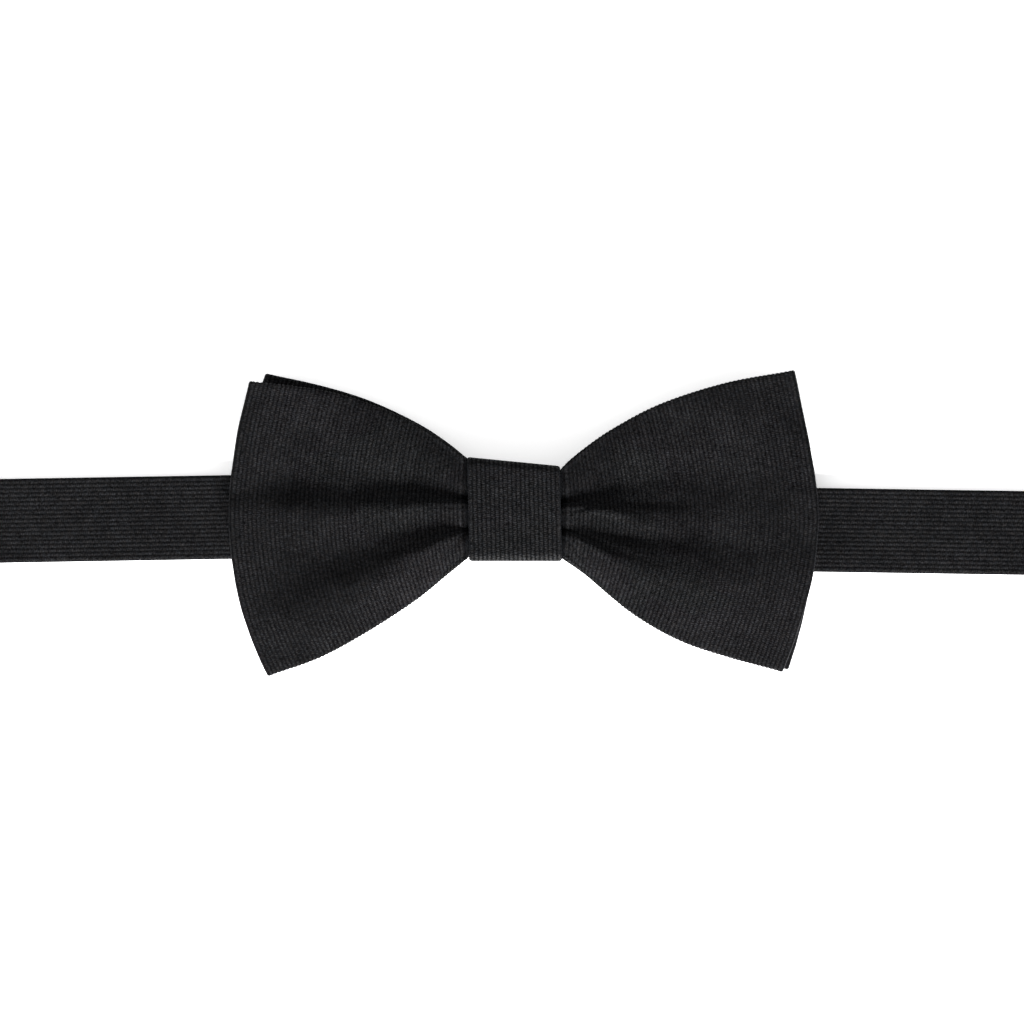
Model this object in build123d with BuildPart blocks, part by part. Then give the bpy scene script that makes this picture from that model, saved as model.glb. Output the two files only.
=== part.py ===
"""Pre-tied adjustable bow tie, laid flat with its band opened out.

Millimetres. +X runs along the band to the hook end, +Y is up across the bow and +Z leaves the
table. The origin is on the back of the knot wrap, under the knot's centre.
"""

import math
import os

from build123d import *

# bow: two sewn loops of ribbed cloth, one in front of the other
CLOTH = 1.0
LINING_INSET = 0.3
LINING = 0.4
LINING_PLAY = 0.03
LINING_HEM = 0.5
EDGE_ROUND = 0.8
GATHER_X = 8.6
GATHER_TOP_Y = 7.65
GATHER_BOTTOM_Y = -9.25
WAIST_X = 9.9

# each bow: floor height, crown height by the knot, crown height at the fold, then its outline
REAR = {
    "low": 3.0, "crown": 7.2, "fold": 6.2,
    "top_left": [(-12.0, 11.2), (-27.0, 20.6), (-41.0, 26.4), (-53.2, 29.0)],
    "left_fold": [(-53.2, 29.0), (-58.8, -3.0), (-51.0, -33.4)],
    "bottom_left": [(-51.0, -33.4), (-38.0, -28.0), (-25.0, -20.6), (-12.0, -11.2)],
    "bottom_right": [(12.0, -10.8), (25.0, -21.0), (39.0, -28.0), (57.6, -33.2)],
    "right_fold": [(57.6, -33.2), (64.0, -3.0), (57.6, 27.4)],
    "top_right": [(57.6, 27.4), (40.0, 24.4), (25.0, 18.0), (12.0, 9.8)],
}
FRONT = {
    "low": 7.5, "crown": 12.0, "fold": 10.0,
    "top_left": [(-11.6, 12.2), (-28.5, 22.2), (-41.2, 26.4), (-56.6, 27.6)],
    "left_fold": [(-56.6, 27.6), (-60.5, -4.6), (-52.2, -35.1)],
    "bottom_left": [(-52.2, -35.1), (-41.2, -31.1), (-28.5, -24.2), (-11.6, -11.4)],
    "bottom_right": [(11.6, -10.9), (26.6, -23.1), (39.3, -29.2), (56.7, -34.0)],
    "right_fold": [(56.7, -34.0), (64.5, -3.0), (59.3, 29.4)],
    "top_right": [(59.3, 29.4), (39.3, 25.4), (24.5, 19.2), (11.6, 10.6)],
}

# knot wrap: a strip of cloth sewn round the gathered bows and the band
WRAP_X = 9.7
WRAP_WALL = 0.8
WRAP_HEIGHT = 13.5
WRAP_TRIM = 0.05
WRAP_BOTTOM_Y = -10.8
WRAP_TOP_LEFT_Y = 11.2
WRAP_TOP_RIGHT_Y = 9.3
WRAP_BACK_ROUND = 1.5
WRAP_FRONT_ROUND = 2.4

# threads
THREAD = 0.4
GATHER_TURNS = (-5.0, 0.0, 5.0)
SEAM_STITCHES = 7
SEAM_DEPTH = 0.1

# band: one strap, folded round the eye at the left and looped through the hook at the right
STRAP_WIDTH = 18.0
STRAP = 1.0
RUN_Z = 1.7
RETURN_Z = 0.5
STRAIGHT_X = 20.0
KNOT_Y = -0.8
LEFT_TURN = 180.98
RIGHT_TURN = -0.87
EYE_RUN = 132.0
FOLD_BACK = 20.0
BEND_END = (64.5, -4.24)
SLIDER_RUN = 55.5
HOOK_RUN = 141.5
SLIDER_REACH = 9.0
TURN_REACH = 8.0

# metal fittings
BAR_Z = 1.65
BAR_RADIUS = 0.6
LOOP_RADIUS = 1.15
PLATE = 0.9
EDGE_SOFT = 0.25
PLATE_WIDTH = 22.4
STRAP_SLOT = 18.9
TIP_DROP = 5.3
EYE_LENGTH = 13.2
CATCH_SLOT = (4.6, 10.0)
TONGUE_WIDTH = 6.4
TONGUE_BEND = 12.4
TONGUE_TIP = 7.6
TONGUE_RADIUS = 1.25
FRAME_SIZE = (15.0, 23.0)
FRAME_Z = 2.5
WINDOW = (4.6, 19.0)
MIDDLE_BAR = 2.2

os.makedirs("parts", exist_ok=True)


def save(part, name):
    """Label one finished sub-part and write its file."""
    part.label = name
    export_step(part, "parts/" + name + ".step")


def heading(degrees):
    """The unit vector in the table plane at this angle from +X."""
    return Vector(math.cos(math.radians(degrees)), math.sin(math.radians(degrees)), 0)


def along(start, degrees, distance):
    """The point on the table this far from start in this direction."""
    return Vector(start) + heading(degrees) * distance


def side_plane(origin, degrees):
    """An upright plane whose X runs in this direction and whose Y is up."""
    direction = heading(degrees)
    return Plane(origin=origin, x_dir=direction, z_dir=direction.cross(Vector(0, 0, 1)))


def shifted(points, dx, dy):
    """The same points moved by dx and dy."""
    return [(x + dx, y + dy) for x, y in points]


def hem(points, fold_shift, hem_shift):
    """A hem's points moved by hem_shift, and by fold_shift as well at the fold."""
    reach = [abs(x) for x, y in points]
    waist = min(reach)
    span = max(reach) - waist
    return [(x + fold_shift * (abs(x) - waist) / span, y + hem_shift) for x, y in points]


# ---- the two bows -------------------------------------------------------------------------


def profile_block(bow, inset):
    """The bow's side profile, carried across its whole height."""
    with BuildPart() as block:
        with BuildSketch(Plane.XZ):
            with BuildLine():
                Polyline(
                    (-70, bow["low"] + inset),
                    (70, bow["low"] + inset),
                    (70, bow["fold"] - inset),
                    (14, bow["crown"] - inset),
                    (-14, bow["crown"] - inset),
                    (-70, bow["fold"] - inset),
                    close=True,
                )
            make_face()
        extrude(amount=50, both=True)
    return block.part


def outline_block(bow, fold_inset, hem_inset):
    """The bow seen from the front, with its folds and hems moved inwards."""
    top = GATHER_TOP_Y - hem_inset
    bottom = GATHER_BOTTOM_Y + hem_inset
    top_left = hem(bow["top_left"], fold_inset, -hem_inset)
    top_right = hem(bow["top_right"], -fold_inset, -hem_inset)
    bottom_left = hem(bow["bottom_left"], fold_inset, hem_inset)
    bottom_right = hem(bow["bottom_right"], -fold_inset, hem_inset)
    left_middle = (bow["left_fold"][1][0] + fold_inset, bow["left_fold"][1][1])
    right_middle = (bow["right_fold"][1][0] - fold_inset, bow["right_fold"][1][1])
    with BuildPart() as block:
        with BuildSketch(Plane.XY):
            with BuildLine():
                Polyline(top_right[-1], (WAIST_X, top), (-WAIST_X, top), top_left[0])
                Spline(*top_left)
                ThreePointArc(top_left[-1], left_middle, bottom_left[0])
                Spline(*bottom_left)
                Polyline(bottom_left[-1], (-WAIST_X, bottom), (WAIST_X, bottom), bottom_right[0])
                Spline(*bottom_right)
                ThreePointArc(bottom_right[-1], right_middle, top_right[0])
                Spline(*top_right)
            make_face()
        extrude(amount=20)
    return block.part


def inside_block(bow, wall, inner_x):
    """The room inside the loops: open at the hems, closed by the folds and the gather."""
    left = shifted(bow["left_fold"], wall, 0)
    right = shifted(bow["right_fold"], -wall, 0)
    with BuildPart() as block:
        with BuildSketch(Plane.XY):
            with BuildLine():
                Polyline(left[0], (left[0][0], 45), (-inner_x, 45), (-inner_x, -45),
                         (left[2][0], -45), left[2])
                ThreePointArc(*left)
            make_face()
            with BuildLine():
                Polyline(right[0], (right[0][0], -45), (inner_x, -45), (inner_x, 45),
                         (right[2][0], 45), right[2])
                ThreePointArc(*right)
            make_face()
        extrude(amount=20)
        add(profile_block(bow, wall), mode=Mode.INTERSECT)
    return block.part


def lining_solid(bow, play):
    """The stiff layer inside the cloth, grown by this play for the pocket that holds it."""
    outer = LINING_INSET - play
    inner = LINING_INSET + LINING + play
    with BuildPart() as lining:
        add(outline_block(bow, outer, LINING_HEM - play))
        add(profile_block(bow, outer), mode=Mode.INTERSECT)
        add(inside_block(bow, inner, 0), mode=Mode.SUBTRACT)
    return lining.part


def shell_solid(bow):
    """The sewn cloth of one bow, hollow loops left and right of a solid gather."""
    with BuildPart() as shell:
        add(outline_block(bow, 0, 0))
        add(profile_block(bow, 0), mode=Mode.INTERSECT)
        folds = [
            edge
            for edge in shell.edges()
            if abs(edge.center().X) > 45 and edge.bounding_box().size.Y > 40
        ]
        fillet(folds, EDGE_ROUND)
        add(inside_block(bow, CLOTH, WAIST_X + 0.6), mode=Mode.SUBTRACT)
        add(lining_solid(bow, LINING_PLAY), mode=Mode.SUBTRACT)
    return shell.part


save(shell_solid(REAR), "rear_bow_shell")
save(lining_solid(REAR, 0), "rear_bow_interlining")
save(shell_solid(FRONT), "front_bow_shell")
save(lining_solid(FRONT, 0), "front_bow_interlining")

# ---- gathering thread: turns drawn tight round both bows -----------------------------------
gather_height = FRONT["crown"] - REAR["low"]
gather_width = GATHER_TOP_Y - GATHER_BOTTOM_Y
gather_middle = (GATHER_TOP_Y + GATHER_BOTTOM_Y) / 2
with BuildPart() as gather_thread:
    for turn in GATHER_TURNS:
        with BuildSketch(Plane.YZ.offset(turn)):
            with Locations((gather_middle, (FRONT["crown"] + REAR["low"]) / 2)):
                RectangleRounded(gather_width + 2 * THREAD, gather_height + 2 * THREAD, 2 * THREAD)
                Rectangle(gather_width, gather_height, mode=Mode.SUBTRACT)
        extrude(amount=THREAD / 2, both=True)
save(gather_thread.part, "gather_thread")

# ---- knot wrap -----------------------------------------------------------------------------


def wrap_core(inset, x_inset):
    """The wrap's outer body, tapering to the right, moved inwards all round."""
    with BuildPart() as core:
        for x, top in ((-WRAP_X + x_inset, WRAP_TOP_LEFT_Y), (WRAP_X - x_inset, WRAP_TOP_RIGHT_Y)):
            with BuildSketch(Plane.YZ.offset(x)) as section:
                with Locations(((top + WRAP_BOTTOM_Y) / 2, (WRAP_HEIGHT - WRAP_TRIM) / 2)):
                    Rectangle(
                        top - WRAP_BOTTOM_Y - 2 * inset, WRAP_HEIGHT + WRAP_TRIM - 2 * inset
                    )
                fillet(section.vertices().group_by(Axis.Y)[0], WRAP_BACK_ROUND - inset)
                fillet(section.vertices().group_by(Axis.Y)[-1], WRAP_FRONT_ROUND - inset)
        loft()
    return core.part


def wrap_ring(outer, inner, x_inset):
    """A closed band of the wrap between two depths in its cloth."""
    with BuildPart() as ring:
        add(wrap_core(outer, x_inset))
        add(wrap_core(inner, x_inset - 2), mode=Mode.SUBTRACT)
    return ring.part


with BuildPart() as knot_wrap:
    add(wrap_ring(0, WRAP_WALL, 0))
    add(wrap_ring(0.22, 0.58, 0.6), mode=Mode.SUBTRACT)
    # the back is trimmed to a true plane at the origin
    with Locations((0, 0, -5)):
        Box(40, 40, 10, mode=Mode.SUBTRACT)
save(knot_wrap.part, "knot_wrap")
save(wrap_ring(0.25, 0.55, 0.63), "knot_interlining")

with BuildPart() as knot_seam_stitches:
    seam_step = 2 * (WRAP_X - 1.6) / (SEAM_STITCHES - 1)
    for number in range(SEAM_STITCHES):
        with Locations((-WRAP_X + 1.6 + number * seam_step, 3.0, SEAM_DEPTH)):
            Box(THREAD / 2, 2.0, SEAM_DEPTH * 1.5)
save(knot_seam_stitches.part, "knot_seam_stitches")

# ---- neckband: the fixed part of the strap, from the eye to just past the knot ---------------
left_origin = Vector(-STRAIGHT_X, KNOT_Y, 0)
left_side = side_plane(left_origin, LEFT_TURN)
with BuildPart() as neckband_lining:
    with Locations((0.2, KNOT_Y, RUN_Z)):
        Box(2 * STRAIGHT_X - 1.6, STRAP_WIDTH - 1.2, 0.4)
    with BuildSketch(left_side):
        with Locations((EYE_RUN / 2 - 8, RUN_Z)):
            Rectangle(EYE_RUN - 14, 0.4)
    extrude(amount=STRAP_WIDTH / 2 - 0.6, both=True)

with BuildPart() as neckband_pocket:
    with Locations((0.2, KNOT_Y, RUN_Z)):
        Box(2 * STRAIGHT_X - 1.5, STRAP_WIDTH - 1.1, 0.46)
    with BuildSketch(left_side):
        with Locations((EYE_RUN / 2 - 8, RUN_Z)):
            Rectangle(EYE_RUN - 13.9, 0.46)
    extrude(amount=STRAP_WIDTH / 2 - 0.55, both=True)

with BuildPart() as neckband_shell:
    with Locations((0, KNOT_Y, RUN_Z)):
        Box(2 * STRAIGHT_X, STRAP_WIDTH, STRAP)
    with BuildSketch(left_side):
        with BuildLine():
            FilletPolyline(
                (-1, RUN_Z),
                (EYE_RUN - 11, RUN_Z),
                (EYE_RUN - 4, BAR_Z + LOOP_RADIUS),
                (EYE_RUN, BAR_Z + LOOP_RADIUS),
                radius=6,
            )
            ThreePointArc(
                (EYE_RUN, BAR_Z + LOOP_RADIUS),
                (EYE_RUN + LOOP_RADIUS, BAR_Z),
                (EYE_RUN, BAR_Z - LOOP_RADIUS),
            )
            Line((EYE_RUN, RETURN_Z), (EYE_RUN - FOLD_BACK, RETURN_Z))
        trace(line_width=STRAP)
    extrude(amount=STRAP_WIDTH / 2, both=True)
    add(neckband_pocket.part, mode=Mode.SUBTRACT)
save(neckband_shell.part, "neckband_shell")
save(neckband_lining.part, "neckband_interlining")

with BuildPart() as eye_fold_stitches:
    stitch_plane = Plane(
        origin=along(left_origin, LEFT_TURN, EYE_RUN - FOLD_BACK + 2.5),
        x_dir=heading(LEFT_TURN),
        z_dir=(0, 0, 1),
    )
    with BuildSketch(stitch_plane.offset(0.3)):
        with GridLocations(4.0, 2.2, 2, 7):
            Circle(THREAD / 2)
    extrude(amount=RUN_Z - 0.1)
save(eye_fold_stitches.part, "eye_fold_stitches")

# ---- strap runs that lengthen and shorten as the slider moves --------------------------------
slider_origin = along(BEND_END, RIGHT_TURN, SLIDER_RUN)
hook_origin = along(BEND_END, RIGHT_TURN, HOOK_RUN)
with BuildPart() as strap_run_to_slider:
    with BuildSketch(Plane.XY.offset(RUN_Z - STRAP / 2)):
        with BuildLine():
            Spline(
                (STRAIGHT_X, KNOT_Y),
                BEND_END,
                tangents=[(1, 0), heading(RIGHT_TURN)],
            )
            Line(BEND_END, along(BEND_END, RIGHT_TURN, SLIDER_RUN - SLIDER_REACH))
        trace(line_width=STRAP_WIDTH)
    extrude(amount=STRAP)
save(strap_run_to_slider.part, "strap_run_to_slider")


def straight_run(height):
    """One layer of strap between the slider and the hook's turn."""
    length = HOOK_RUN - SLIDER_RUN - SLIDER_REACH - TURN_REACH
    with BuildPart() as run:
        with BuildSketch(side_plane(slider_origin, RIGHT_TURN)):
            with Locations((SLIDER_REACH + length / 2, height)):
                Rectangle(length, STRAP)
        extrude(amount=STRAP_WIDTH / 2, both=True)
    return run.part


save(straight_run(RUN_Z), "strap_run_top")
save(straight_run(RETURN_Z), "strap_run_return")

with BuildPart() as strap_turn:
    with BuildSketch(side_plane(hook_origin, RIGHT_TURN)):
        with BuildLine():
            FilletPolyline(
                (-TURN_REACH, RUN_Z),
                (-TURN_REACH + 1.5, RUN_Z),
                (-2.0, BAR_Z + LOOP_RADIUS),
                (0, BAR_Z + LOOP_RADIUS),
                radius=3,
            )
            ThreePointArc(
                (0, BAR_Z + LOOP_RADIUS), (LOOP_RADIUS, BAR_Z), (0, BAR_Z - LOOP_RADIUS)
            )
            Line((0, RETURN_Z), (-TURN_REACH, RETURN_Z))
        trace(line_width=STRAP)
    extrude(amount=STRAP_WIDTH / 2, both=True)
save(strap_turn.part, "strap_turn")

# ---- slider: a three-bar frame, the strap woven over it and the strap's sewn end -------------
slider_side = side_plane(slider_origin, RIGHT_TURN)
slider_flat = Plane(origin=slider_origin, x_dir=heading(RIGHT_TURN), z_dir=(0, 0, 1))
middle_z = FRAME_Z + PLATE / 2
with BuildPart() as slider_frame:
    with BuildSketch(slider_flat.offset(FRAME_Z)):
        RectangleRounded(FRAME_SIZE[0], FRAME_SIZE[1], 2.0)
        with Locations(
            (-(MIDDLE_BAR + WINDOW[0]) / 2, 0),
            ((MIDDLE_BAR + WINDOW[0]) / 2, 0),
        ):
            RectangleRounded(WINDOW[0], WINDOW[1], 0.8, mode=Mode.SUBTRACT)
    extrude(amount=PLATE)
    flat_faces = slider_frame.faces().filter_by(Axis.Z)
    fillet(flat_faces.edges(), 0.3)
save(slider_frame.part, "slider_frame")

with BuildPart() as strap_over_slider:
    with BuildSketch(slider_side):
        with BuildLine():
            FilletPolyline(
                (-SLIDER_REACH, RUN_Z),
                (-5.4, RUN_Z),
                (-1.6, RUN_Z + 3.4),
                (1.6, RUN_Z + 3.4),
                (5.4, RUN_Z),
                (SLIDER_REACH, RUN_Z),
                radius=1.0,
            )
        trace(line_width=STRAP)
    extrude(amount=STRAP_WIDTH / 2, both=True)
save(strap_over_slider.part, "strap_over_slider")

with BuildPart() as strap_anchor_end:
    with BuildSketch(slider_side):
        with BuildLine():
            FilletPolyline(
                (SLIDER_REACH, RETURN_Z),
                (4.8, RETURN_Z),
                (1.8, middle_z - 1.05),
                (-0.65, middle_z - 1.05),
                radius=0.8,
            )
            ThreePointArc(
                (-0.65, middle_z - 1.05), (-1.7, middle_z), (-0.65, middle_z + 1.05)
            )
            Line((-0.65, middle_z + 1.05), (0.65, middle_z + 1.05))
            TangentArc((0.65, middle_z + 1.05), (1.7, middle_z), tangent=(1, 0))
            Line((1.7, middle_z), (1.7, middle_z - 0.3))
        trace(line_width=STRAP)
    extrude(amount=STRAP_WIDTH / 2, both=True)
save(strap_anchor_end.part, "strap_anchor_end")

with BuildPart() as anchor_stitches:
    with BuildSketch(slider_flat.offset(1.75)):
        with Locations((1.7, 0)):
            with GridLocations(1.0, 2.1, 1, 8):
                Circle(THREAD / 2)
    extrude(amount=1.4)
save(anchor_stitches.part, "anchor_stitches")

# ---- eye and hook: plates on a round bar, tips resting on the table ---------------------------


def fitting_plane(origin, degrees):
    """The plane of a plate, on its bar's axis, sloping down to the table away from the strap."""
    outward = heading(degrees)
    slope = math.radians(TIP_DROP)
    along_plate = outward * math.cos(slope) - Vector(0, 0, 1) * math.sin(slope)
    normal = outward * math.sin(slope) + Vector(0, 0, 1) * math.cos(slope)
    return Plane(origin=origin + Vector(0, 0, BAR_Z), x_dir=along_plate, z_dir=normal)


def soften(plate, plane):
    """Round the long edges of a flat plate, as stamping and tumbling leave them."""
    flats = plate.faces().filter_by(lambda face: abs(face.normal_at().dot(plane.z_dir)) > 0.99)
    fillet(flats.edges(), EDGE_SOFT)


def strap_loop(plane):
    """The round bar, its two side arms and the strap slot that every fitting shares."""
    with BuildPart() as loop:
        with BuildSketch(plane.offset(-PLATE / 2)):
            for side in (-1, 1):
                with Locations((2.2, side * (PLATE_WIDTH + STRAP_SLOT) / 4)):
                    Rectangle(4.4, (PLATE_WIDTH - STRAP_SLOT) / 2)
        extrude(amount=PLATE)
        soften(loop, plane)
        with BuildSketch(Plane(plane.origin, x_dir=plane.x_dir, z_dir=plane.y_dir)):
            Circle(BAR_RADIUS)
        extrude(amount=PLATE_WIDTH / 2, both=True)
    return loop.part


eye_plane = fitting_plane(along(left_origin, LEFT_TURN, EYE_RUN), LEFT_TURN)
with BuildPart() as eye_plate:
    with BuildSketch(eye_plane.offset(-PLATE / 2)):
        with Locations(((3.4 + EYE_LENGTH) / 2, 0)):
            RectangleRounded(EYE_LENGTH - 3.4, PLATE_WIDTH, 0.9)
            RectangleRounded(CATCH_SLOT[0], CATCH_SLOT[1], 1.0, mode=Mode.SUBTRACT)
    extrude(amount=PLATE)
    soften(eye_plate, eye_plane)
    add(strap_loop(eye_plane))
save(eye_plate.part, "eye_plate")

hook_plane = fitting_plane(hook_origin, RIGHT_TURN)
hook_side = Plane(hook_plane.origin, x_dir=hook_plane.x_dir, z_dir=-hook_plane.y_dir)
with BuildPart() as hook_plate:
    with BuildSketch(hook_plane.offset(-PLATE / 2)):
        with BuildLine():
            Polyline(
                (3.4, -PLATE_WIDTH / 2),
                (5.2, -PLATE_WIDTH / 2),
                (9.0, -TONGUE_WIDTH / 2),
                (9.0, TONGUE_WIDTH / 2),
                (5.2, PLATE_WIDTH / 2),
                (3.4, PLATE_WIDTH / 2),
                close=True,
            )
        make_face()
    extrude(amount=PLATE)
    soften(hook_plate, hook_plane)
    add(strap_loop(hook_plane))
    with BuildSketch(hook_side):
        with BuildLine():
            Line((8.0, 0), (TONGUE_BEND, 0))
            ThreePointArc(
                (TONGUE_BEND, 0),
                (TONGUE_BEND + TONGUE_RADIUS, TONGUE_RADIUS),
                (TONGUE_BEND, 2 * TONGUE_RADIUS),
            )
            Line((TONGUE_BEND, 2 * TONGUE_RADIUS), (TONGUE_TIP, 2 * TONGUE_RADIUS))
        trace(line_width=PLATE)
    extrude(amount=TONGUE_WIDTH / 2, both=True)
save(hook_plate.part, "hook_plate")
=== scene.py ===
"""Looks of the pre-tied bow tie: sewn ribbed cloth, threads and plated fittings round the CAD frame.

Lengths inside this script are millimetres; meshes are made in metres.
"""

import math

import bpy
import numpy as np
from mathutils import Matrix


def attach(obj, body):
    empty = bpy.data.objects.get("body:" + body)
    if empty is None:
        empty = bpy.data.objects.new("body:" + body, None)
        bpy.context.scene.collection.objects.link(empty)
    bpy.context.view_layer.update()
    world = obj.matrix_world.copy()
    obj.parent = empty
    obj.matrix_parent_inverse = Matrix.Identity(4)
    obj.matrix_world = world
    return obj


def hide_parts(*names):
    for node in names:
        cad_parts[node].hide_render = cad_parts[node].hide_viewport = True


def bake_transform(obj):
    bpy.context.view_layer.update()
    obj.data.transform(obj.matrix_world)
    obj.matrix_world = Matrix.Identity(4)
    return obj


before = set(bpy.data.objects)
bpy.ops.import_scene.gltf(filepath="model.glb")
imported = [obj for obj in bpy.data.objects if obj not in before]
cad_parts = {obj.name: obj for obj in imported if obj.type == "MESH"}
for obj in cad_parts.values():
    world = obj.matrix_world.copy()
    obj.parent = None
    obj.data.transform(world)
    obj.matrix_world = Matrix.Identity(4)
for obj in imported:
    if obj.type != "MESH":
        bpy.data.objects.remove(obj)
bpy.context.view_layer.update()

MM = 0.001
# ribbed cloth: the pitch of its ribs, then its thickness and how far its ribs stand up in bows and straps
RIB = 0.918
CLOTH = 0.86
RIB_HEIGHT = 0.11
STRAP = 0.9
STRAP_RIB_HEIGHT = 0.09
FELT = 0.30
HEM_TURNS = (0.22, 0.5, 0.78)
THREAD_SIDES = 8
THREAD_TIP = 0.45
TINY = 1e-9

# ---- small numeric helpers ----


def running_length(points):
    """How far along a polyline each of its points is."""
    return np.concatenate([[0], np.cumsum(np.linalg.norm(np.diff(points, axis=0), axis=1))])


def smooth(low, high, x):
    """0 below low, 1 above high, an S-curve between."""
    t = np.clip((x - low) / (high - low), 0, 1)
    return t * t * (3 - 2 * t)


def unit(vectors):
    """The same vectors at length 1."""
    return vectors / (np.sqrt((vectors * vectors).sum(-1, keepdims=True)) + 1e-12)


def waves(seed, x, y, size, count=5):
    """A smooth uneven field of about this wavelength, between about -1 and 1."""
    rng = np.random.default_rng(seed)
    out = np.zeros(np.broadcast(x, y).shape)
    for _ in range(count):
        angle, phase, scale = rng.uniform(0, math.tau), rng.uniform(0, math.tau), rng.uniform(0.6, 1.6)
        k = math.tau / (size * scale)
        out = out + np.sin(k * (x * math.cos(angle) + y * math.sin(angle)) + phase)
    return out / math.sqrt(count)


def resample(values, old, new):
    """Cubic interpolation of values along their first axis."""
    old = np.asarray(old)
    index = np.clip(np.searchsorted(old, new, side="right") - 1, 0, len(old) - 2)
    shape = (-1,) + (1,) * (values.ndim - 1)
    t = ((new - old[index]) / (old[index + 1] - old[index])).reshape(shape)
    p1, p2 = values[index], values[index + 1]
    p0 = np.where((index > 0).reshape(shape), values[np.maximum(index - 1, 0)], 2 * p1 - p2)
    last = len(old) - 1
    p3 = np.where((index < last - 1).reshape(shape), values[np.minimum(index + 2, last)], 2 * p2 - p1)
    return 0.5 * (
        2 * p1 + (p2 - p0) * t + (2 * p0 - 5 * p1 + 4 * p2 - p3) * t**2
        + (3 * p1 - p0 - 3 * p2 + p3) * t**3
    )


def spread(points, step):
    """Points put along a polyline at an even spacing, with the distance of each."""
    points = np.asarray(points, float)
    reach = running_length(points)
    count = max(int(round(reach[-1] / step)), 2)
    at = np.linspace(0, reach[-1], count + 1)
    return np.stack([np.interp(at, reach, points[:, k]) for k in range(points.shape[1])], 1), at


def rounded(points, radius, step=0.25):
    """A polyline through these corners, each turned by an arc of this radius."""
    points = [np.asarray(p, float) for p in points]
    out = [points[0]]
    for before, corner, after in zip(points, points[1:], points[2:]):
        a, b = unit(before - corner), unit(after - corner)
        half = math.acos(np.clip(float(a @ b), -1, 1)) / 2
        cut = radius / math.tan(half)
        centre = corner + unit(a + b) * radius / math.sin(half)
        start, end = corner + a * cut, corner + b * cut
        sweep = math.pi - 2 * half
        pieces = max(int(sweep * radius / step), 4)
        first, last = start - centre, end - centre
        for k in range(pieces + 1):
            t = k / pieces
            mix = math.sin((1 - t) * sweep) * first + math.sin(t * sweep) * last
            out.append(centre + mix / math.sin(sweep))
    out.append(points[-1])
    return np.array(out)


# ---- meshes ----


def put(name, data):
    """A new object in the scene."""
    thing = bpy.data.objects.new(name, data)
    bpy.context.scene.collection.objects.link(thing)
    return thing


def make_object(name, vertices, faces, uvs, flat_from=None):
    """A smooth-shaded mesh object from millimetre points, with flat faces from flat_from on."""
    mesh = bpy.data.meshes.new(name)
    mesh.from_pydata((np.asarray(vertices) * MM).tolist(), [], [list(map(int, f)) for f in faces])
    rounded_off = np.ones(len(mesh.polygons), bool)
    if flat_from is not None:
        rounded_off[flat_from:] = False
    mesh.polygons.foreach_set("use_smooth", rounded_off)
    layer = mesh.uv_layers.new(name="UVMap")
    layer.data.foreach_set("uv", np.asarray(uvs, dtype=np.float32).ravel())
    mesh.update()
    return put(name, mesh)


def thick_sheet(name, middle, flat, closed, thickness=CLOTH, rib_height=RIB_HEIGHT, both=False):
    """A closed cloth mesh round a middle surface, with rolled hems along its second axis.

    middle is (a, b, 3) in mm. flat is (a, b, 2): the rib count across the ribs, and the length
    along them in mm. The ribs stand on the outer face, and on the inner one too where both is set.
    """
    na, nb = middle.shape[:2]
    if closed:
        along = np.roll(middle, -1, 0) - np.roll(middle, 1, 0)
    else:
        along = np.gradient(middle, axis=0)
    across = np.gradient(middle, axis=1)
    normal = unit(np.cross(along, across))
    ridge = np.abs(np.cos(math.pi * flat[..., 0]))
    half = thickness / 2
    scallop = rib_height * (ridge - 0.5)
    outer_height = half - rib_height * (1 - ridge)
    inner_height = outer_height if both else np.full_like(outer_height, half)
    rows, row_flat = [], []

    def face(columns, height, side):
        """Add one face's rows, in this order, this far to this side of the middle."""
        for j in columns:
            rows.append(middle[:, j] + side * normal[:, j] * height[:, j, None])
            row_flat.append(flat[:, j])

    def hem(j, inwards, start, end, side):
        """Add the rows that roll round a hem, from the face on this side to the other one."""
        outwards = unit(middle[:, j] - middle[:, inwards])
        for turn in HEM_TURNS:
            angle = turn * math.pi
            size = start[:, j] * (1 - turn) + end[:, j] * turn
            rows.append(middle[:, j] + side * size[:, None] * normal[:, j] * math.cos(angle)
                        + (size + scallop[:, j])[:, None] * outwards * math.sin(angle))
            row_flat.append(flat[:, j] + np.array([0, side * thickness * turn]))

    face(range(nb), outer_height, 1)
    hem(-1, -2, outer_height, inner_height, 1)
    face(range(nb - 1, -1, -1), inner_height, -1)
    hem(0, 1, inner_height, outer_height, -1)
    grid = np.stack(rows, 1)
    uv = np.stack(row_flat, 1)
    nring = grid.shape[1]
    step = np.array([np.median(np.abs(np.diff(flat[:, 0, 0]))), 0.0])
    if closed:
        uv = np.concatenate([uv, uv[-1:] + step * np.sign(flat[1, 0, 0] - flat[0, 0, 0])], 0)
    A, B = np.meshgrid(np.arange(na if closed else na - 1), np.arange(nring), indexing="ij")
    A2, B2 = (A + 1) % na, (B + 1) % nring
    quads = np.stack([A * nring + B, A2 * nring + B, A2 * nring + B2, A * nring + B2], -1)
    corner = np.stack([uv[A, B], uv[A + 1, B], uv[A + 1, B2], uv[A, B2]], -2).reshape(-1, 2)
    faces = quads.reshape(-1, 4).tolist()
    flat_from = None
    if not closed:
        flat_from = len(faces)
        faces.append(list(range(nring - 1, -1, -1)))
        faces.append([(na - 1) * nring + k for k in range(nring)])
        ends = np.concatenate([uv[0][::-1], uv[-1]])
        corner = np.concatenate([corner, ends])
    return make_object(name, grid.reshape(-1, 3), faces, corner, flat_from)


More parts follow.
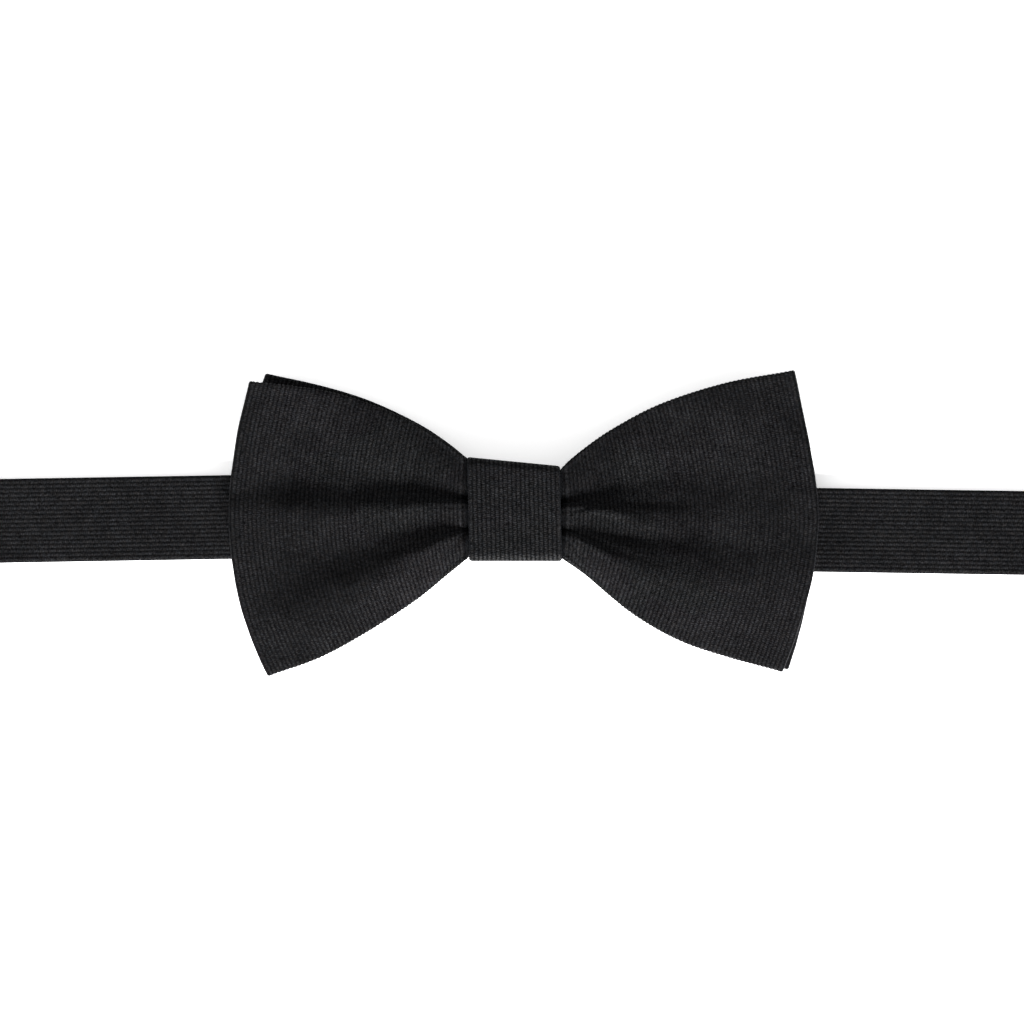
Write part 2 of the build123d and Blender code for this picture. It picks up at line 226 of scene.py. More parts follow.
def ribbon(name, path, sideways, width, across_step=RIB / 6, rib_height=STRAP_RIB_HEIGHT, thickness=STRAP):
    """A strap along a path of points, its ribs running lengthways."""
    path = np.asarray(path, float)
    sideways = np.broadcast_to(np.asarray(sideways, float), path.shape)
    half = width / 2 - thickness / 2
    y = np.linspace(-half, half, int(round(2 * half / across_step)) + 1)
    middle = path[:, None] + sideways[:, None] * y[None, :, None]
    flat = np.stack(np.broadcast_arrays((y / RIB)[None, :], running_length(path)[:, None]), -1)
    return thick_sheet(name, middle, flat, False, thickness, rib_height, both=True)


def thread(name, paths, radius, body, node):
    """One piece of round threads, each along its own points, with narrowed ends."""
    sides = THREAD_SIDES
    vertices, faces, uvs = [], [], []
    for path in paths:
        path = np.asarray(path, float)
        tangent = unit(np.gradient(path, axis=0))
        helper = np.where(np.abs(tangent[:, 2:]) > 0.8, [[1.0, 0, 0]], [[0, 0, 1.0]])
        one = unit(np.cross(tangent, helper))
        two = np.cross(tangent, one)
        n = len(path)
        size = np.full(n, radius)
        size[0] = size[-1] = radius * THREAD_TIP
        base = len(vertices)
        angles = np.arange(sides) / sides * math.tau
        for k in range(n):
            for angle in angles:
                vertices.append(path[k] + size[k] * (one[k] * math.cos(angle) + two[k] * math.sin(angle)))
        reach = running_length(path)
        for k in range(n - 1):
            for s in range(sides):
                t = (s + 1) % sides
                faces.append([base + k * sides + s, base + k * sides + t,
                              base + (k + 1) * sides + t, base + (k + 1) * sides + s])
                uvs += [(s / sides, reach[k]), ((s + 1) / sides, reach[k]),
                        ((s + 1) / sides, reach[k + 1]), (s / sides, reach[k + 1])]
        faces.append([base + s for s in range(sides - 1, -1, -1)])
        uvs += [(s / sides, 0) for s in range(sides - 1, -1, -1)]
        faces.append([base + (n - 1) * sides + s for s in range(sides)])
        uvs += [(s / sides, reach[-1]) for s in range(sides)]
    piece = make_object(name, vertices, faces, uvs)
    return dress(piece, thread_black, body, "black_thread", node)


# ---- materials ----


class Nodes:
    """A thin hand for building one material's node tree."""

    def __init__(self, name):
        self.material = bpy.data.materials.new(name)
        self.material.use_nodes = True
        self.tree = self.material.node_tree
        self.shader = self.tree.nodes["Principled BSDF"]

    def feed(self, socket, value):
        """Set a socket, or link it to where its value comes from."""
        if isinstance(value, bpy.types.NodeSocket):
            self.tree.links.new(value, socket)
        else:
            socket.default_value = value

    def add(self, kind, sockets=None, **settings):
        """A node with these settings and these values on its inputs."""
        node = self.tree.nodes.new(kind)
        for key, value in settings.items():
            setattr(node, key, value)
        for key, value in (sockets or {}).items():
            self.feed(node.inputs[key], value)
        return node

    def surface(self, sockets):
        """Set these inputs of the shader."""
        for key, value in sockets.items():
            self.feed(self.shader.inputs[key], value)

    def math(self, operation, a, b=None):
        sockets = {0: a} if b is None else {0: a, 1: b}
        return self.add("ShaderNodeMath", sockets, operation=operation).outputs[0]

    def noise(self, vector, scale, detail=3.0, roughness=0.5):
        sockets = {"Vector": vector, "Scale": scale, "Detail": detail, "Roughness": roughness}
        return self.add("ShaderNodeTexNoise", sockets).outputs["Fac"]

    def ramp(self, value, stops):
        node = self.add("ShaderNodeValToRGB", {"Fac": value})
        ramp = node.color_ramp
        ramp.elements[0].position, ramp.elements[0].color = stops[0][0], (*stops[0][1], 1)
        ramp.elements[1].position, ramp.elements[1].color = stops[-1][0], (*stops[-1][1], 1)
        for position, colour in stops[1:-1]:
            ramp.elements.new(position).color = (*colour, 1)
        return node.outputs["Color"]

    def bump(self, height, strength, distance):
        """Relief on the surface, this deep in metres."""
        sockets = {"Strength": strength, "Distance": distance, "Height": height}
        self.surface({"Normal": self.add("ShaderNodeBump", sockets).outputs["Normal"]})

    def rough(self, value, low, high):
        """Roughness from low to high as a value goes from 0 to 1."""
        sockets = {"Value": value, "To Min": low, "To Max": high}
        self.surface({"Roughness": self.add("ShaderNodeMapRange", sockets).outputs[0]})

    def blend(self, a, b, share):
        """A mix of two values, with this share of the first."""
        return self.math("ADD", self.math("MULTIPLY", a, share), self.math("MULTIPLY", b, 1 - share))

    def cloth_axes(self):
        """How many ribs or turns across, and how many millimetres along, from the UV map."""
        uv = self.add("ShaderNodeUVMap", uv_map="UVMap").outputs["UV"]
        split = self.add("ShaderNodeSeparateXYZ", {0: uv})
        return split.outputs["X"], split.outputs["Y"]

    def position(self):
        """The object's own coordinates, in metres."""
        return self.add("ShaderNodeTexCoord").outputs["Object"]

    def shades(self, value, colour, dark, light):
        """Base colour between two shares of one colour; dark and light are each (value, share)."""
        stops = [(at, tuple(c * share for c in colour)) for at, share in (dark, light)]
        self.surface({"Base Color": self.ramp(value, stops)})


CLOTH_COLOUR = (0.00228, 0.00228, 0.00242)
CLOTH_GLOSS = 0.039
# the cloth's cross threads: their pitch along a rib, and how far they wander in it
THREAD_PITCH = 0.45
THREAD_DRIFT = 1.6
WAVE_MEAN = 0.64
NOISE_MEAN = 0.5
DARKEST = 0.15
HUES = [(0.35, (1.10, 0.99, 0.93)), (0.5, (0.99, 0.99, 1.04)), (0.65, (0.90, 1.0, 1.13))]


def faille(name, rib_depth, rib_painted_shade=0.80):
    """Ribbed cloth: rounded ribs covered by fine cross threads, with fluff and uneven dye, painted glints,
    and painted shade in the grooves between ribs with a painted highlight along their crests.
    """
    n = Nodes(name)
    ribs, length = n.cloth_axes()
    position = n.position()
    # ridge is 1 on a rib's crest and 0 in the groove between ribs; in the colour it paints shade into the
    # grooves and a highlight along the crests
    ridge = n.math("ABSOLUTE", n.math("COSINE", n.math("MULTIPLY", ribs, math.pi)))
    drift = n.math("MULTIPLY", n.noise(position, 1300.0, 2.0), THREAD_DRIFT)
    along = n.math("ADD", n.math("MULTIPLY", length, 1 / THREAD_PITCH), drift)
    staggered = n.math("ADD", along, n.math("MULTIPLY", n.math("ROUND", ribs), 0.5))
    strand = n.math("ABSOLUTE", n.math("SINE", n.math("MULTIPLY", staggered, math.pi)))
    # painted glints: bright specks painted into the colour, and small bumps in the relief
    painted_glint_speck = n.noise(position, 2500.0, 2.0, 0.6)
    fluff = n.noise(position, 4600.0, 2.0, 0.6)
    slub = n.noise(position, 380.0, 2.0)
    patch = n.noise(position, 70.0, 3.0)
    tone = 1.0
    # each term scales the tone about 1: painted shade in the rib grooves with a painted highlight on the
    # crests, cross threads, painted glints, fluff, and uneven dye
    for value, mean, gain in (
            (ridge, WAVE_MEAN, rib_painted_shade), (strand, WAVE_MEAN, 0.70), (painted_glint_speck, NOISE_MEAN, 3.6),
            (fluff, NOISE_MEAN, 2.7), (slub, NOISE_MEAN, 0.7), (patch, NOISE_MEAN, 0.7)):
        about_one = n.math("ADD", n.math("MULTIPLY", n.math("SUBTRACT", value, mean), gain), 1.0)
        tone = n.math("MULTIPLY", tone, n.math("MAXIMUM", about_one, DARKEST))
    tone = n.math("MAXIMUM", tone, 0.12)
    hue = n.ramp(n.noise(position, 1700.0, 2.0), HUES)
    toned = n.add("ShaderNodeVectorMath", {0: hue, "Scale": tone}, operation="SCALE")
    # the cloth colour carries the dye together with the painted shade, highlight and glints
    dye_and_painted_light = n.add("ShaderNodeVectorMath", {0: toned.outputs[0], 1: CLOTH_COLOUR}, operation="MULTIPLY")
    gloss = n.math("MINIMUM", n.math("MULTIPLY", tone, CLOTH_GLOSS), 0.30)
    n.rough(ridge, 0.90, 0.62)
    weave = n.math("ADD", n.math("MULTIPLY", ridge, rib_depth), n.math("MULTIPLY", strand, 0.25))
    n.bump(n.math("ADD", weave, n.math("MULTIPLY", painted_glint_speck, 0.30)), 0.9, 0.00018)
    n.surface({"Base Color": dye_and_painted_light.outputs[0], "Specular IOR Level": gloss, "Sheen Weight": 0.010,
               "Sheen Roughness": 0.45, "Sheen Tint": (0.80, 0.86, 1.0, 1)})
    return n.material


def felt(name, colour):
    """Interlining: a pale needled felt."""
    n = Nodes(name)
    fibres = n.noise(n.position(), 3500.0, 4.0, 0.65)
    cloud = n.noise(n.position(), 200.0, 3.0)
    n.shades(n.blend(fibres, cloud, 0.6), colour, (0.3, 0.7), (0.7, 1.2))
    n.surface({"Roughness": 0.95})
    n.bump(fibres, 0.5, 0.0001)
    return n.material


def twisted(name, colour):
    """Sewing thread: plies that wind round its length."""
    n = Nodes(name)
    around, along = n.cloth_axes()
    turn = n.math("ADD", n.math("MULTIPLY", around, 2.0), n.math("MULTIPLY", along, 2.2))
    ply = n.math("ABSOLUTE", n.math("SINE", n.math("MULTIPLY", turn, math.pi)))
    fuzz = n.noise(n.position(), 6000.0, 3.0, 0.6)
    n.shades(n.blend(ply, fuzz, 0.6), colour, (0.2, 0.5), (0.8, 1.6))
    n.surface({"Roughness": 0.55, "Sheen Weight": 0.12})
    n.bump(ply, 0.7, 0.00006)
    return n.material


def plated(name, colour):
    """Satin nickel plating, tumbled, with fine handling scratches and a duller film in places."""
    n = Nodes(name)
    stretch = n.add("ShaderNodeMapping", {"Scale": (40.0, 1.0, 1.0), "Vector": n.position()})
    grain = n.noise(stretch.outputs[0], 260.0, 4.0, 0.6)
    film = n.noise(n.position(), 240.0, 4.0, 0.55)
    pits = n.noise(n.position(), 2600.0, 2.0)
    n.shades(film, colour, (0.36, 0.72), (0.62, 1.0))
    n.surface({"Metallic": 1.0})
    n.rough(n.blend(grain, film, 0.5), 0.16, 0.46)
    n.bump(n.blend(grain, pits, 0.6), 0.22, 0.00004)
    return n.material


# each cloth: its rib relief, then, where given, the strength of the painted shade in the rib grooves and the
# painted highlight on their crests
cloth_wings = faille("faille_wings", 0.2)
cloth_plain = faille("faille_back", 1.0)
cloth_knot = faille("faille_knot", 0.2, 1.0)
cloth_band = faille("faille_band", 0.12, 0.50)
felt_pale = felt("felt_interlining", (0.52, 0.50, 0.45))
thread_black = twisted("thread_black", (0.016, 0.016, 0.017))
nickel = plated("nickel_satin", (0.40, 0.39, 0.37))


def dress(piece, material, body, slot, *nodes):
    """Give a piece its material and its body if it has one, and hide the CAD nodes it stands for; slot is
    not used.
    """
    piece.data.materials.clear()
    piece.data.materials.append(material)
    if body:
        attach(piece, body)
    if nodes:
        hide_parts(*nodes)
    return piece


# ---- the two bows: four panels of cloth, gathered at the knot and settled as cloth ----

# the panels' cut height and grid; where the knot's edge is, and how much of a fold's reach is its roll
CUT = 64.0
ROWS = 60
COLUMNS_LEFT, COLUMNS_KNOT, COLUMNS_RIGHT = 34, 12, 37
KNOT_X = 9.2
FOLD_ROLL = 0.95

# hems in plan, from the knot's edge to the outer corner: top left, bottom left, top right, bottom right
FRONT_HEMS = {
    "tl": [(-9.2, 9.7), (-14.4, 13.8), (-21.1, 17.9), (-31.2, 22.3), (-41.3, 25.1), (-56.3, 26.9)],
    "bl": [(-9.2, -9.2), (-14.4, -13.4), (-21.1, -18.8), (-31.2, -25.4), (-41.3, -30.9), (-52.3, -34.9)],
    "tr": [(9.2, 7.9), (14.6, 12.5), (21.3, 17.1), (31.4, 22.3), (44.9, 26.6), (59.3, 29.2)],
    "br": [(9.2, -8.6), (14.6, -12.9), (24.8, -21.4), (34.8, -27.2), (44.9, -30.7), (57.0, -34.0)],
}
REAR_HEMS = {
    "tl": [(-9.2, 9.8), (-14.4, 14.0), (-21.1, 18.3), (-31.2, 23.0), (-41.3, 26.1), (-53.1, 28.7)],
    "bl": [(-9.2, -9.3), (-14.4, -13.2), (-21.1, -18.4), (-31.2, -24.8), (-41.3, -30.1), (-51.0, -33.2)],
    "tr": [(9.2, 7.9), (14.6, 12.2), (21.3, 16.7), (31.4, 21.7), (44.9, 25.8), (57.5, 27.4)],
    "br": [(9.2, -9.4), (14.6, -13.0), (24.8, -21.2), (34.8, -27.0), (44.9, -30.5), (58.5, -33.6)],
}
# per panel from the front: hems, how far its folds reach, heights of its crowns and fold, depth of pleats
PANELS = [
    {"hems": hems, "reach": reach, "crown": crown, "fold": fold, "pleat": pleat}
    for hems, reach, crown, fold, pleat in (
        (FRONT_HEMS, (-60.45, 64.5), 11.3, 9.7, 1.0), (FRONT_HEMS, (-60.45, 64.5), 10.3, 8.6, 1.0),
        (REAR_HEMS, (-58.7, 63.8), 9.3, 5.7, 0.6), (REAR_HEMS, (-58.7, 63.8), 8.3, 4.6, 0.6))
]
# how square each side's fold is in plan, below and above its middle
BULGE = ((2.3, 1.64), (1.8, 1.35))
# each side's pleats, lower then upper, in plan as distance from the middle and height. A pleat climbs
# from its foot to its crest, sooner where its lean is under 1. At each of the STEPS outwards come its
# climb, the share of it lost again below the crest, the depth of the narrow slit in it, the rise of the
# cloth above the upper pleat, and how far the lower and upper hems droop.
STEPS = (0, 0.1, 0.25, 0.5, 0.75, 1)
NEAR = (9.2, 13, 16, 20, 25, 30, 36)


def crease(near, *beyond):
    """A crease's points in plan: its heights at the near distances, then the points beyond them."""
    return tuple(zip(NEAR, near)) + beyond


CREASES = [
    {"feet": (crease((-2.6, -3.5, -4.3, -4.8, -4.7, -5.2, -7.2), (43, -10), (50, -14), (61, -18)),
              crease((2.9, 3, 3.4, 4.7, 6.1, 6.8, 9.2), (43, 7), (50, 6.3), (57, 3.9), (61, 3.5))),
     "crests": (crease((-4, -5.6, -7.2, -9.5, -12, -14.8, -17.4), (43, -20.2), (50, -21.5), (61, -23)),
                crease((1.6, 1, 0.6, 0.4, -0.2, -0.5, -1), (43, 0), (50, 0.4), (61, 0.6))),
     "lean": ((0.8, 0.8, 0.9, 1.25, 1.25, 1), (0.8, 0.8, 0.9, 1.4, 1.5, 1.2)),
     "climb": ((0.7, 1.8, 2.8, 2.9, 2.8, 0.3), (0.8, 1.8, 2.9, 3.1, 3, 1)),
     "slit": (2.6, 1.3, 0.6, 0.4, 0.2, 0),
     "fall": ((0.4, 0.35, 0.3, 0.45, 0.55, 0.6), (0.3, 0.2, 0.08, 0.05, 0.1, 0.3)),
     "rise": (0.4, 0.8, 1.1, 0.7, 0.2, 0),
     "droop": ((0.2, 0.4, 0.7, 0.3, 0.1, 0), (0.2, 0.5, 1, 0.5, 0.1, 0))},
    {"feet": (crease((-2.7, -3.6, -4.9, -5.8, -6.6, -7.1, -7), (65, -6.6)),
              crease((2.2, 2.6, 3.2, 4.5, 6.6, 8.2, 8.8), (45, 8.6), (65, 8))),
     "crests": (crease((-4.2, -6.2, -8.2, -10.4, -12.4, -13.6, -14.4), (45, -15.8), (65, -16.5)),
                crease((1, 0, -1, -2.2, -3.2, -3.8, -3.8), (45, -3), (65, -2))),
     "lean": ((0.7, 0.7, 0.65, 0.6, 0.8, 1), (0.7, 0.7, 0.8, 0.9, 1, 1)),
     "climb": ((0.7, 1.7, 2.9, 2.9, 2, 0.8), (0.8, 2, 3.4, 2.9, 1.5, 0.3)),
     "slit": (2.4, 1.3, 0.6, 0.4, 0.1, 0),
     "fall": ((0.4, 0.35, 0.3, 0.4, 0.5, 0.6), (0.2, 0.1, 0.05, 0.05, 0.2, 0.4)),
     "rise": (0.4, 0.8, 0.9, 0.5, 0.1, 0),
     "droop": ((0.3, 0.4, 0.5, 0.1, 0, 0), (0.2, 0.5, 0.8, 0.3, 0, 0))},
]
SLIT_WIDTH = 0.65
HEM_DROP = 0.35
HEM_ROUND = 1.2
# the crowns fall from the knot outwards to this far above the fold, in about this share of the wing
CROWN_OVER_FOLD = 0.25
CROWN_SHARE = 0.18
ROOM_OVER_CROWN = 0.8
# the knot pinches the cloth beside it
PINCH = 1.7
PINCH_X = 9.9
PINCH_WIDTH = 0.6


def hem_line(points):
    """A hem in plan, as fine points from the knot's edge to the start of the fold's roll."""
    at = np.arange(len(points), dtype=float)
    line = resample(np.array(points, float), at, np.linspace(0, at[-1], 300))
    reach = running_length(line)
    kept = reach <= reach[-1] - FOLD_ROLL
    return line[kept], reach[kept]


def along_line(line, reach, share):
    """Points at these shares of a line's length."""
    at = share * reach[-1]
    return np.stack([np.interp(at, reach, line[:, k]) for k in (0, 1)], 1)


def fold_x(panel, side, low, high, t):
    """How far out a panel's outer fold stands, for each share t up from its lower corner."""
    power = np.where(t < 0.5, BULGE[side][0], BULGE[side][1])
    reach = panel["reach"][side] - math.copysign(FOLD_ROLL, panel["reach"][side])
    middle = (low[0] + high[0]) / 2
    return low[0] + (high[0] - low[0]) * t + (reach - middle) * (1 - np.abs(2 * t - 1) ** power)


def crease_height(points, x):
    """A crease's height in plan at a distance from the middle, with no kinks."""
    points = np.array(points, float)
    near = np.linspace(x - 3.5, x + 3.5, 15)
    return float(np.interp(near, points[:, 0], points[:, 1]).mean())


def pleated_section(low, high, pleats, crown, limit, droop, rise):
    """One section across a panel: heights and levels at ROWS equal steps along the cloth."""
    y = np.linspace(low, high, 500)
    net = sum(pleat["climb"] * (1 - pleat["fall"]) for pleat in pleats)
    highest = pleats[0]["climb"] + pleats[1]["climb"] * (1 - pleats[1]["fall"])
    z = np.full_like(y, min(crown - 0.5 * net, limit - highest))
    ends = (low, pleats[0]["foot"])
    for pleat, end in zip(pleats, ends):
        t = np.clip((pleat["foot"] - y) / (pleat["foot"] - pleat["crest"]), 0, 1) ** pleat["lean"]
        beyond = np.clip((pleat["crest"] - y) / (pleat["crest"] - end), 0, 1)
        z = z + pleat["climb"] * (t * t * (3 - 2 * t) - pleat["fall"] * beyond**1.4)
        slit_at = 0.4 * pleat["foot"] + 0.6 * pleat["crest"]
        z = z - pleat["slit"] * np.exp(-np.abs((y - slit_at) / SLIT_WIDTH) ** 1.5)
    z = z - droop[0] * np.clip((pleats[0]["crest"] - y) / (pleats[0]["crest"] - low), 0, 1) ** 1.8
    above = np.clip((y - pleats[1]["foot"]) / (high - pleats[1]["foot"]), 0, 1)
    z = z + rise * above * (2 - above) - droop[1] * above**3
    for edge in (low, high):
        z = z - HEM_DROP * np.exp(-((np.abs(y - edge) / HEM_ROUND) ** 1.5))
    reach = np.concatenate([[0], np.cumsum(np.hypot(np.diff(y), np.diff(z)))])
    at = np.linspace(0, reach[-1], ROWS)
    return np.interp(at, reach, y), np.interp(at, reach, z), reach[-1]


def laid_half(panel, side, shares):
    """Where one half of a panel starts, from the knot's edge outwards, and each section's length."""
    names = ("bl", "tl") if side == 0 else ("br", "tr")
    low_line, high_line = (hem_line(panel["hems"][name]) for name in names)
    low, high = along_line(*low_line, shares), along_line(*high_line, shares)
    sign = -1 if side == 0 else 1
    line = CREASES[side]
    points = np.zeros((len(shares), ROWS, 3))
    lengths = np.zeros(len(shares))
    for k, share in enumerate(shares):
        t_even = np.linspace(0, 1, 60)
        out_x = fold_x(panel, side, low_line[0][-1], high_line[0][-1], t_even)
        x_far = sign * KNOT_X + (out_x - sign * KNOT_X) * share
        ends = np.array([x_far[0], x_far[-1]])
        near_low, near_high = (np.clip(away, 0, 1) ** 1.4 for away in (1 - 2 * t_even, 2 * t_even - 1))
        offset = (low[k, 0] - ends[0]) * near_low + (high[k, 0] - ends[1]) * near_high
        x_row = x_far + offset
        x_mid = abs(float(x_row.mean()))

        def here(depths):
            """A value of this section, from its values at the steps outwards."""
            return float(np.interp(share, STEPS, depths))

        pleats = [{
            "crest": crease_height(line["crests"][m], x_mid), "foot": crease_height(line["feet"][m], x_mid),
            "lean": here(line["lean"][m]), "fall": here(line["fall"][m]), "slit": here(line["slit"]),
            "climb": panel["pleat"] * here(line["climb"][m])} for m in (0, 1)]
        drop = panel["fold"] + CROWN_OVER_FOLD - panel["crown"]
        crown = panel["crown"] + drop * (1 - math.exp(-share / CROWN_SHARE))
        y, z, lengths[k] = pleated_section(
            low[k, 1], high[k, 1], pleats, crown, panel["crown"] + ROOM_OVER_CROWN,
            [here(depths) for depths in line["droop"]], here(line["rise"]))
        t = (y - y[0]) / (y[-1] - y[0])
        points[k, :, 0] = np.interp(t, t_even, x_row)
        points[k, :, 1] = y
        points[k, :, 2] = z
    return points, lengths


def laid_shape(panel):
    """Where a panel starts, as columns of points; its cut's u and each column's length in v."""
    left, left_lengths = laid_half(panel, 0, np.arange(COLUMNS_LEFT + 1) / COLUMNS_LEFT)
    right, right_lengths = laid_half(panel, 1, np.arange(COLUMNS_RIGHT + 1) / COLUMNS_RIGHT)
    inside = np.linspace(-KNOT_X, KNOT_X, COLUMNS_KNOT + 1)
    share = ((inside + KNOT_X) / (2 * KNOT_X))[:, None, None]
    knot = left[0] * (1 - share) + right[0] * share
    pinch = 1 - smooth(0.55, 1.0, np.abs(inside) / KNOT_X)
    spare = np.interp(knot[..., 1], (7.9, 9.8), (0, 1.9))
    knot[..., 1] -= spare * pinch[:, None]
    shape = np.concatenate([left[:0:-1], knot, right[1:]])
    lengths = np.concatenate([left_lengths[:0:-1], np.interp(inside, (-KNOT_X, KNOT_X), (
        left_lengths[0], right_lengths[0])), right_lengths[1:]])
    v = np.linspace(-1, 1, ROWS)
    cuts = []
    for half in (left, right):
        rows = np.linalg.norm(np.diff(half, axis=0), axis=-1).sum(0)
        cuts.append(np.polyval(np.polyfit(v, rows, 2), v))
    left_u = -KNOT_X - np.arange(COLUMNS_LEFT, 0, -1)[:, None] / COLUMNS_LEFT * cuts[0]
    right_u = KNOT_X + np.arange(1, COLUMNS_RIGHT + 1)[:, None] / COLUMNS_RIGHT * cuts[1]
    return shape, np.concatenate([left_u, inside[:, None] * np.ones(ROWS), right_u]), lengths


def pull_pairs(P, W, first, second, rest, stiffness, only_short=False):
    """Move each pair of points towards its rest distance."""
    A, B = P[first], P[second]
    gap = B - A
    length = np.sqrt((gap * gap).sum(-1)) + TINY
    stretch = (length - rest) / length
    if only_short:
        stretch = np.minimum(stretch, 0)
    wa, wb = W[first], W[second]
    move = (stiffness * stretch / (wa + wb + TINY))[..., None] * gap
    P[first] = A + move * wa[..., None]
    P[second] = B - move * wb[..., None]


def every_other(axis, start, size):
    """Slices for the pairs (start, start+1), (start+2, start+3) and so on along one grid axis."""
    pairs = (size - start) // 2
    first, second = [slice(None)] * 3, [slice(None)] * 3
    first[axis] = slice(start, start + 2 * pairs - 1, 2)
    second[axis] = slice(start + 1, start + 2 * pairs, 2)
    return tuple(first), tuple(second), pairs


# cloth simulation of the four panels, in millimetres and steps
STEPS_FINAL, STEPS_QUICK, PASSES = 150, 30, 8
DAMPING = 0.88
WEIGHT = 0.004
# pull back to the laid height all through, and more of it that fades out
MEMORY, EARLY_MEMORY = 0.02, 0.03
# pull back to the laid plan: everywhere, more near the knot, and at the hems and ends
HOLD, HOLD_NEAR_KNOT, HOLD_HEMS = 0.004, 0.02, 0.5
SHEAR = 0.05
BEND_ALONG, BEND_ACROSS = 0.35, 0.12
# the panels' spacing where they lie flat, and the most that leaning adds to it
LAYER_GAP, LEAN_CAP = 0.98, 1.9
# the strap under the bows, the table beside it, and the top
BED_MIDDLE, BED_HALF, BED, TABLE, ROOF = -1.5, 10.8, 3.0, 1.0, 12.4


def settle_bows(steps):
    """Cloth simulation of the four panels: they keep their cut size and settle on each other."""
    starts = [laid_shape(panel) for panel in PANELS]
    P = np.stack([start[0] for start in starts])
    U = np.stack([start[1] for start in starts])
    lengths = np.stack([start[2] for start in starts])
    laid = P.copy()
    W = np.ones(P.shape[:3])
    W[np.abs(U) <= KNOT_X + 0.01] = 0
    rest_v = lengths[:, :, None] / (ROWS - 1) * np.ones(ROWS - 1)
    laid_u = np.linalg.norm(np.diff(P, axis=1), axis=-1)
    far = smooth(12, 26, np.abs(U[:, 1:] + U[:, :-1]) / 2)
    rest_u = laid_u + (np.diff(U, axis=1) - laid_u) * far
    diagonal = np.sqrt(rest_u[:, :, :-1] ** 2 + rest_v[:, :-1] ** 2)
    double_u = rest_u[:, :-1] + rest_u[:, 1:]
    double_v = rest_v[:, :, :-1] + rest_v[:, :, 1:]
    hold = HOLD + HOLD_NEAR_KNOT * (1 - smooth(15, 40, np.abs(U)))
    hold[:, :, (0, -1)] = HOLD_HEMS
    hold[:, (0, -1)] = HOLD_HEMS
    every, shorter, longer = slice(None), slice(0, -1), slice(1, None)
    before = P.copy()
    for step in range(steps):
        speed = (P - before) * DAMPING
        before = P.copy()
        P += speed * W[..., None]
        P[..., 2] -= WEIGHT * W
        P[..., 2] += (MEMORY + EARLY_MEMORY * (1 - step / steps)) * W * (laid[..., 2] - P[..., 2])
        for _ in range(PASSES):
            P[..., :2] += (hold * W)[..., None] * (laid[..., :2] - P[..., :2])
            for start in (0, 1):
                first, second, pairs = every_other(1, start, U.shape[1])
                pull_pairs(P, W, first, second, rest_u[:, start::2][:, :pairs], 1.0)
                first, second, pairs = every_other(2, start, ROWS)
                pull_pairs(P, W, first, second, rest_v[:, :, start::2][:, :, :pairs], 1.0)
            pull_pairs(P, W, (every, shorter, shorter), (every, longer, longer), diagonal, SHEAR)
            pull_pairs(P, W, (every, shorter, longer), (every, longer, shorter), diagonal, SHEAR)
        pull_pairs(P, W, (every, slice(0, -2)), (every, slice(2, None)), double_u, BEND_ALONG, True)
        pull_pairs(P, W, (every, every, slice(0, -2)), (every, every, slice(2, None)), double_v,
                   BEND_ACROSS, True)
        rise = np.gradient(P[..., 2], axis=2) / np.maximum(np.abs(np.gradient(P[..., 1], axis=2)), 0.3)
        lean = np.minimum(np.sqrt(1 + rise**2), LEAN_CAP)
        for k in (0, 1, 2):
            wanted = LAYER_GAP * np.maximum(lean[k], lean[k + 1])
            lack = np.maximum(wanted - (P[k, ..., 2] - P[k + 1, ..., 2]), 0)
            total = W[k] + W[k + 1] + TINY
            P[k, ..., 2] += 0.5 * lack * W[k] / total
            P[k + 1, ..., 2] -= 0.5 * lack * W[k + 1] / total
        floor = np.where(np.abs(P[..., 1] - BED_MIDDLE) < BED_HALF, BED, TABLE)
        P[..., 2] = np.where(W > 0, np.clip(P[..., 2], floor, ROOF), P[..., 2])
    middle_u = U[:, :, ROWS // 2]
    areas = (0.5 * (lengths[:, 1:] + lengths[:, :-1]) * np.diff(middle_u, axis=1)).sum(1)
    return P, middle_u, np.linspace(-CUT / 2, CUT / 2, ROWS), areas


panels, panel_u, panel_v, panel_areas = settle_bows(STEPS_FINAL)


# unevenness of settled cloth, as (height, size across), and where it starts beside the knot
BROAD_RIPPLE, FINE_RIPPLE = (0.10, 16.0), (0.035, 5.5)
RIPPLE_FROM, RIPPLE_FULL = 10, 22
# how far a fold's cloth keeps its heading, as a share of the gap between the two panels
FOLD_REACH = 0.66


def relaxed(P):
    """Take the grid-sized chatter out of a settled panel, keeping its ends where they are."""
    for _ in range(2):
        inner = P[1:-1, 1:-1]
        around = (P[:-2, 1:-1] + P[2:, 1:-1] + P[1:-1, :-2] + P[1:-1, 2:]) / 4
        P = P.copy()
        P[1:-1, 1:-1] = inner * 0.65 + around * 0.35
    return P


def fold_arc(end, start, out_a, out_b, count):
    """The turn of cloth from one panel's end to the next one's start."""
    reach = FOLD_REACH * np.linalg.norm(start - end, axis=-1, keepdims=True)
    t = (np.arange(1, count) / count)[:, None, None]
    a, b = end + out_a * reach, start + out_b * reach
    return (1 - t) ** 3 * end + 3 * (1 - t) ** 2 * t * a + 3 * (1 - t) * t**2 * b + t**3 * start


